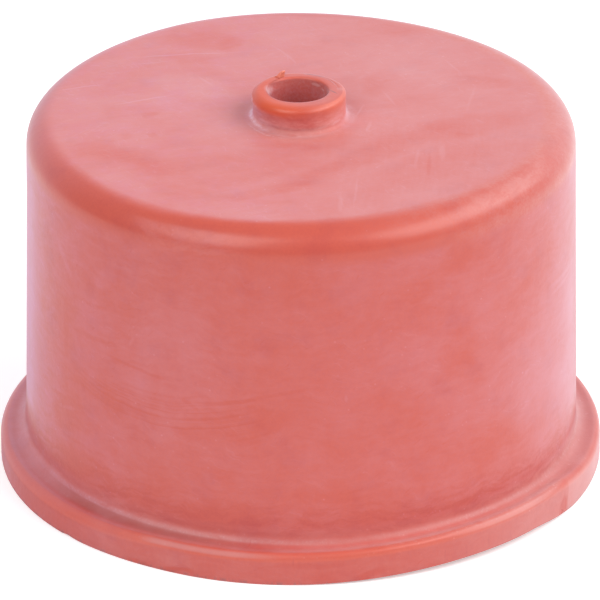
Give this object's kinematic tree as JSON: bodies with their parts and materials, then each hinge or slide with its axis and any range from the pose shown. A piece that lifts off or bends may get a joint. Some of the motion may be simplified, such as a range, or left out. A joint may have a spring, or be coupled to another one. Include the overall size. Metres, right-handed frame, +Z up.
{
  "type": "cap-type rubber stopper",
  "caption": "Round hollow rubber cap with a turned-out flange at its foot and a short bored boss on its flat top, to close a bottle neck and hold an airlock stem.",
  "frame": {"origin": "centre of the flange's foot, in the plane that the stopper stands on", "axes": "+Z up along the axis of the bore, from the flange to the boss; +X and +Y are alike, but for the scrap of mould flash on the boss's lip, which stands at 123 degrees from +X"},
  "size_m": [0.0732, 0.0732, 0.0486],
  "materials": {
    "natural_rubber": "satin red-brown natural rubber with a pale talc bloom"
  },
  "bodies": {
    "root": {"stopper": "natural_rubber"}
  },
  "joints": []
}
